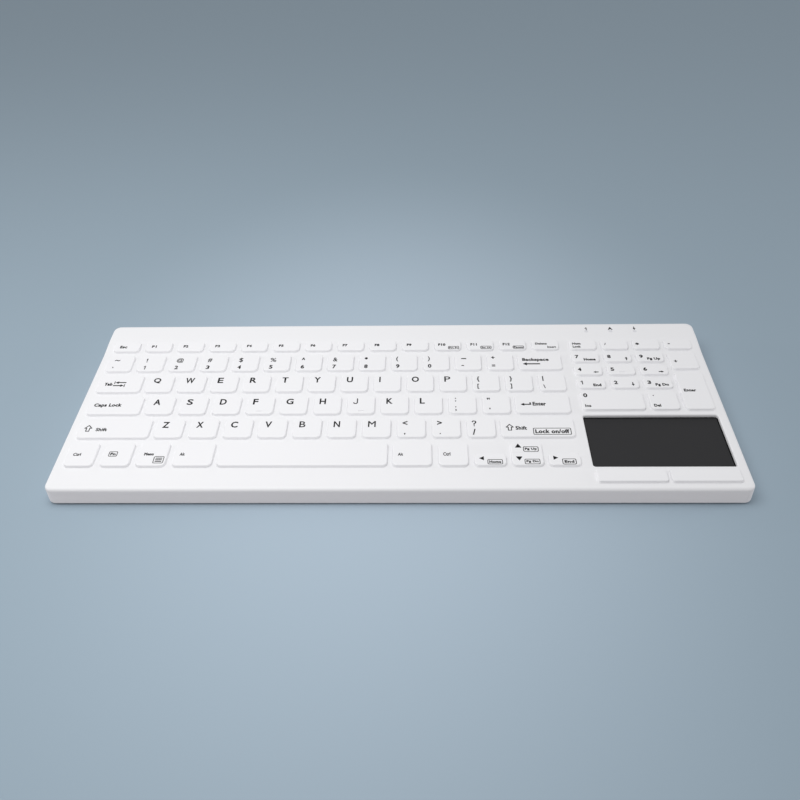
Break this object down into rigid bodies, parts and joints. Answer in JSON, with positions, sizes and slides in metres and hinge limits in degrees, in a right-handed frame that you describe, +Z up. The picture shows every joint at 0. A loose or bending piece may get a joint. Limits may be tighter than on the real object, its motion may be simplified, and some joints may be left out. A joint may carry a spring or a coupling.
{
  "type": "medical keyboard",
  "caption": "Sealed white silicone-covered keyboard with number pad, recessed touchpad, two mouse buttons and low travelling keys.",
  "frame": {"origin": "on the resting plane under the middle of the body's outline", "axes": "+X to the user's right along the keyboard, +Y away from the user, +Z up"},
  "size_m": [0.3634, 0.1398, 0.0166],
  "materials": {
    "white_silicone": "satin",
    "key_silicone": "satin",
    "touchpad_black": "fine matte",
    "gasket_foam": "matte",
    "circuit_board": "satin",
    "flat_cable": "satin",
    "led_body": "gloss",
    "chip_black": "matte",
    "crystal_can": "satin",
    "header_white": "satin",
    "zinc_steel": "satin",
    "tray_plastic": "satin",
    "base_plastic": "fine texture",
    "screw_steel": "satin",
    "foot_rubber": "matte",
    "bush_rubber": "satin"
  },
  "bodies": {
    "body": {"silicone_cover": "white_silicone", "touchpad_surface": "touchpad_black", "touchpad_gasket": "gasket_foam", "touchpad_board": "circuit_board", "touchpad_ribbon": "flat_cable", "main_board": "circuit_board", "status_leds": "led_body", "controller_chip": "chip_black", "clock_crystal": "crystal_can", "cable_header": "header_white", "steel_backplate": "zinc_steel", "base_tray": "tray_plastic", "bottom_plate": "base_plastic", "bottom_screws": "screw_steel", "rubber_feet": "foot_rubber", "cable_bush": "bush_rubber"},
    "key_escape": {"key_escape": "key_silicone"},
    "keys_f1_to_f4": {"keys_f1_to_f4": "key_silicone"},
    "keys_f5_to_f8": {"keys_f5_to_f8": "key_silicone"},
    "keys_f9_to_f12": {"keys_f9_to_f12": "key_silicone"},
    "key_delete": {"key_delete": "key_silicone"},
    "keys_grave_to_4": {"keys_grave_to_4": "key_silicone"},
    "keys_5_to_8": {"keys_5_to_8": "key_silicone"},
    "keys_9_to_equals": {"keys_9_to_equals": "key_silicone"},
    "key_backspace": {"key_backspace": "key_silicone"},
    "key_tab": {"key_tab": "key_silicone"},
    "keys_q_to_t": {"keys_q_to_t": "key_silicone"},
    "keys_y_to_p": {"keys_y_to_p": "key_silicone"},
    "keys_brackets": {"keys_brackets": "key_silicone"},
    "key_caps_lock": {"key_caps_lock": "key_silicone"},
    "keys_a_to_g": {"keys_a_to_g": "key_silicone"},
    "keys_h_to_quote": {"keys_h_to_quote": "key_silicone"},
    "key_enter": {"key_enter": "key_silicone"},
    "key_shift_left": {"key_shift_left": "key_silicone"},
    "keys_z_to_b": {"keys_z_to_b": "key_silicone"},
    "keys_n_to_slash": {"keys_n_to_slash": "key_silicone"},
    "key_shift_right": {"key_shift_right": "key_silicone"},
    "key_ctrl_left": {"key_ctrl_left": "key_silicone"},
    "key_fn": {"key_fn": "key_silicone"},
    "key_system": {"key_system": "key_silicone"},
    "key_alt_left": {"key_alt_left": "key_silicone"},
    "key_space": {"key_space": "key_silicone"},
    "key_alt_right": {"key_alt_right": "key_silicone"},
    "key_ctrl_right": {"key_ctrl_right": "key_silicone"},
    "key_arrow_left": {"key_arrow_left": "key_silicone"},
    "key_arrow_down": {"key_arrow_down": "key_silicone"},
    "key_arrow_up": {"key_arrow_up": "key_silicone"},
    "key_arrow_right": {"key_arrow_right": "key_silicone"},
    "keys_pad_top": {"keys_pad_top": "key_silicone"},
    "keys_pad_7_to_9": {"keys_pad_7_to_9": "key_silicone"},
    "keys_pad_4_to_6": {"keys_pad_4_to_6": "key_silicone"},
    "keys_pad_1_to_3": {"keys_pad_1_to_3": "key_silicone"},
    "key_pad_0": {"key_pad_0": "key_silicone"},
    "key_pad_point": {"key_pad_point": "key_silicone"},
    "key_pad_plus": {"key_pad_plus": "key_silicone"},
    "key_pad_enter": {"key_pad_enter": "key_silicone"},
    "mouse_button_left": {"mouse_button_left": "key_silicone"},
    "mouse_button_right": {"mouse_button_right": "key_silicone"}
  },
  "joints": [
    {"name": "key_escape_press", "type": "slide", "parent": "body", "child": "key_escape", "axis": [0, 0.1, -0.995], "range_m": [0, 0.0015], "stiffness_N_per_m": 400},
    {"name": "keys_f1_to_f4_press", "type": "slide", "parent": "body", "child": "keys_f1_to_f4", "axis": [0, 0.1, -0.995], "range_m": [0, 0.0015], "stiffness_N_per_m": 1600},
    {"name": "keys_f5_to_f8_press", "type": "slide", "parent": "body", "child": "keys_f5_to_f8", "axis": [0, 0.1, -0.995], "range_m": [0, 0.0015], "stiffness_N_per_m": 1600},
    {"name": "keys_f9_to_f12_press", "type": "slide", "parent": "body", "child": "keys_f9_to_f12", "axis": [0, 0.1, -0.995], "range_m": [0, 0.0015], "stiffness_N_per_m": 1600},
    {"name": "key_delete_press", "type": "slide", "parent": "body", "child": "key_delete", "axis": [0, 0.1, -0.995], "range_m": [0, 0.0015], "stiffness_N_per_m": 400},
    {"name": "keys_grave_to_4_press", "type": "slide", "parent": "body", "child": "keys_grave_to_4", "axis": [0, 0.0262, -0.9997], "range_m": [0, 0.0015], "stiffness_N_per_m": 2000},
    {"name": "keys_5_to_8_press", "type": "slide", "parent": "body", "child": "keys_5_to_8", "axis": [0, 0.0262, -0.9997], "range_m": [0, 0.0015], "stiffness_N_per_m": 1600},
    {"name": "keys_9_to_equals_press", "type": "slide", "parent": "body", "child": "keys_9_to_equals", "axis": [0, 0.0262, -0.9997], "range_m": [0, 0.0015], "stiffness_N_per_m": 1600},
    {"name": "key_backspace_press", "type": "slide", "parent": "body", "child": "key_backspace", "axis": [0, 0.0262, -0.9997], "range_m": [0, 0.0015], "stiffness_N_per_m": 400},
    {"name": "key_tab_press", "type": "slide", "parent": "body", "child": "key_tab", "axis": [0, 0.0262, -0.9997], "range_m": [0, 0.0015], "stiffness_N_per_m": 400},
    {"name": "keys_q_to_t_press", "type": "slide", "parent": "body", "child": "keys_q_to_t", "axis": [0, 0.0262, -0.9997], "range_m": [0, 0.0015], "stiffness_N_per_m": 2000},
    {"name": "keys_y_to_p_press", "type": "slide", "parent": "body", "child": "keys_y_to_p", "axis": [0, 0.0262, -0.9997], "range_m": [0, 0.0015], "stiffness_N_per_m": 2000},
    {"name": "keys_brackets_press", "type": "slide", "parent": "body", "child": "keys_brackets", "axis": [0, 0.0262, -0.9997], "range_m": [0, 0.0015], "stiffness_N_per_m": 1200},
    {"name": "key_caps_lock_press", "type": "slide", "parent": "body", "child": "key_caps_lock", "axis": [0, 0.0262, -0.9997], "range_m": [0, 0.0015], "stiffness_N_per_m": 400},
    {"name": "keys_a_to_g_press", "type": "slide", "parent": "body", "child": "keys_a_to_g", "axis": [0, 0.0262, -0.9997], "range_m": [0, 0.0015], "stiffness_N_per_m": 2000},
    {"name": "keys_h_to_quote_press", "type": "slide", "parent": "body", "child": "keys_h_to_quote", "axis": [0, 0.0262, -0.9997], "range_m": [0, 0.0015], "stiffness_N_per_m": 2400},
    {"name": "key_enter_press", "type": "slide", "parent": "body", "child": "key_enter", "axis": [0, 0.0262, -0.9997], "range_m": [0, 0.0015], "stiffness_N_per_m": 400},
    {"name": "key_shift_left_press", "type": "slide", "parent": "body", "child": "key_shift_left", "axis": [0, 0.0262, -0.9997], "range_m": [0, 0.0015], "stiffness_N_per_m": 400},
    {"name": "keys_z_to_b_press", "type": "slide", "parent": "body", "child": "keys_z_to_b", "axis": [0, 0.0262, -0.9997], "range_m": [0, 0.0015], "stiffness_N_per_m": 2000},
    {"name": "keys_n_to_slash_press", "type": "slide", "parent": "body", "child": "keys_n_to_slash", "axis": [0, 0.0262, -0.9997], "range_m": [0, 0.0015], "stiffness_N_per_m": 2000},
    {"name": "key_shift_right_press", "type": "slide", "parent": "body", "child": "key_shift_right", "axis": [0, 0.0262, -0.9997], "range_m": [0, 0.0015], "stiffness_N_per_m": 400},
    {"name": "key_ctrl_left_press", "type": "slide", "parent": "body", "child": "key_ctrl_left", "axis": [0, 0.0262, -0.9997], "range_m": [0, 0.0015], "stiffness_N_per_m": 400},
    {"name": "key_fn_press", "type": "slide", "parent": "body", "child": "key_fn", "axis": [0, 0.0262, -0.9997], "range_m": [0, 0.0015], "stiffness_N_per_m": 400},
    {"name": "key_system_press", "type": "slide", "parent": "body", "child": "key_system", "axis": [0, 0.0262, -0.9997], "range_m": [0, 0.0015], "stiffness_N_per_m": 400},
    {"name": "key_alt_left_press", "type": "slide", "parent": "body", "child": "key_alt_left", "axis": [0, 0.0262, -0.9997], "range_m": [0, 0.0015], "stiffness_N_per_m": 400},
    {"name": "key_space_press", "type": "slide", "parent": "body", "child": "key_space", "axis": [0, 0.0262, -0.9997], "range_m": [0, 0.0015], "stiffness_N_per_m": 400},
    {"name": "key_alt_right_press", "type": "slide", "parent": "body", "child": "key_alt_right", "axis": [0, 0.0262, -0.9997], "range_m": [0, 0.0015], "stiffness_N_per_m": 400},
    {"name": "key_ctrl_right_press", "type": "slide", "parent": "body", "child": "key_ctrl_right", "axis": [0, 0.0262, -0.9997], "range_m": [0, 0.0015], "stiffness_N_per_m": 400},
    {"name": "key_arrow_left_press", "type": "slide", "parent": "body", "child": "key_arrow_left", "axis": [0, 0.0262, -0.9997], "range_m": [0, 0.0015], "stiffness_N_per_m": 400},
    {"name": "key_arrow_down_press", "type": "slide", "parent": "body", "child": "key_arrow_down", "axis": [0, 0.0262, -0.9997], "range_m": [0, 0.0015], "stiffness_N_per_m": 400},
    {"name": "key_arrow_up_press", "type": "slide", "parent": "body", "child": "key_arrow_up", "axis": [0, 0.0262, -0.9997], "range_m": [0, 0.0015], "stiffness_N_per_m": 400},
    {"name": "key_arrow_right_press", "type": "slide", "parent": "body", "child": "key_arrow_right", "axis": [0, 0.0262, -0.9997], "range_m": [0, 0.0015], "stiffness_N_per_m": 400},
    {"name": "keys_pad_top_press", "type": "slide", "parent": "body", "child": "keys_pad_top", "axis": [0, 0.1, -0.995], "range_m": [0, 0.0015], "stiffness_N_per_m": 1600},
    {"name": "keys_pad_7_to_9_press", "type": "slide", "parent": "body", "child": "keys_pad_7_to_9", "axis": [0, 0.0262, -0.9997], "range_m": [0, 0.0015], "stiffness_N_per_m": 1200},
    {"name": "keys_pad_4_to_6_press", "type": "slide", "parent": "body", "child": "keys_pad_4_to_6", "axis": [0, 0.0262, -0.9997], "range_m": [0, 0.0015], "stiffness_N_per_m": 1200},
    {"name": "keys_pad_1_to_3_press", "type": "slide", "parent": "body", "child": "keys_pad_1_to_3", "axis": [0, 0.0262, -0.9997], "range_m": [0, 0.0015], "stiffness_N_per_m": 1200},
    {"name": "key_pad_0_press", "type": "slide", "parent": "body", "child": "key_pad_0", "axis": [0, 0.0262, -0.9997], "range_m": [0, 0.0015], "stiffness_N_per_m": 400},
    {"name": "key_pad_point_press", "type": "slide", "parent": "body", "child": "key_pad_point", "axis": [0, 0.0262, -0.9997], "range_m": [0, 0.0015], "stiffness_N_per_m": 400},
    {"name": "key_pad_plus_press", "type": "slide", "parent": "body", "child": "key_pad_plus", "axis": [0, 0.0262, -0.9997], "range_m": [0, 0.0015], "stiffness_N_per_m": 400},
    {"name": "key_pad_enter_press", "type": "slide", "parent": "body", "child": "key_pad_enter", "axis": [0, 0.0262, -0.9997], "range_m": [0, 0.0015], "stiffness_N_per_m": 400},
    {"name": "mouse_button_left_press", "type": "slide", "parent": "body", "child": "mouse_button_left", "axis": [0, 0.0262, -0.9997], "range_m": [0, 0.0015], "stiffness_N_per_m": 400},
    {"name": "mouse_button_right_press", "type": "slide", "parent": "body", "child": "mouse_button_right", "axis": [0, 0.0262, -0.9997], "range_m": [0, 0.0015], "stiffness_N_per_m": 400}
  ]
}
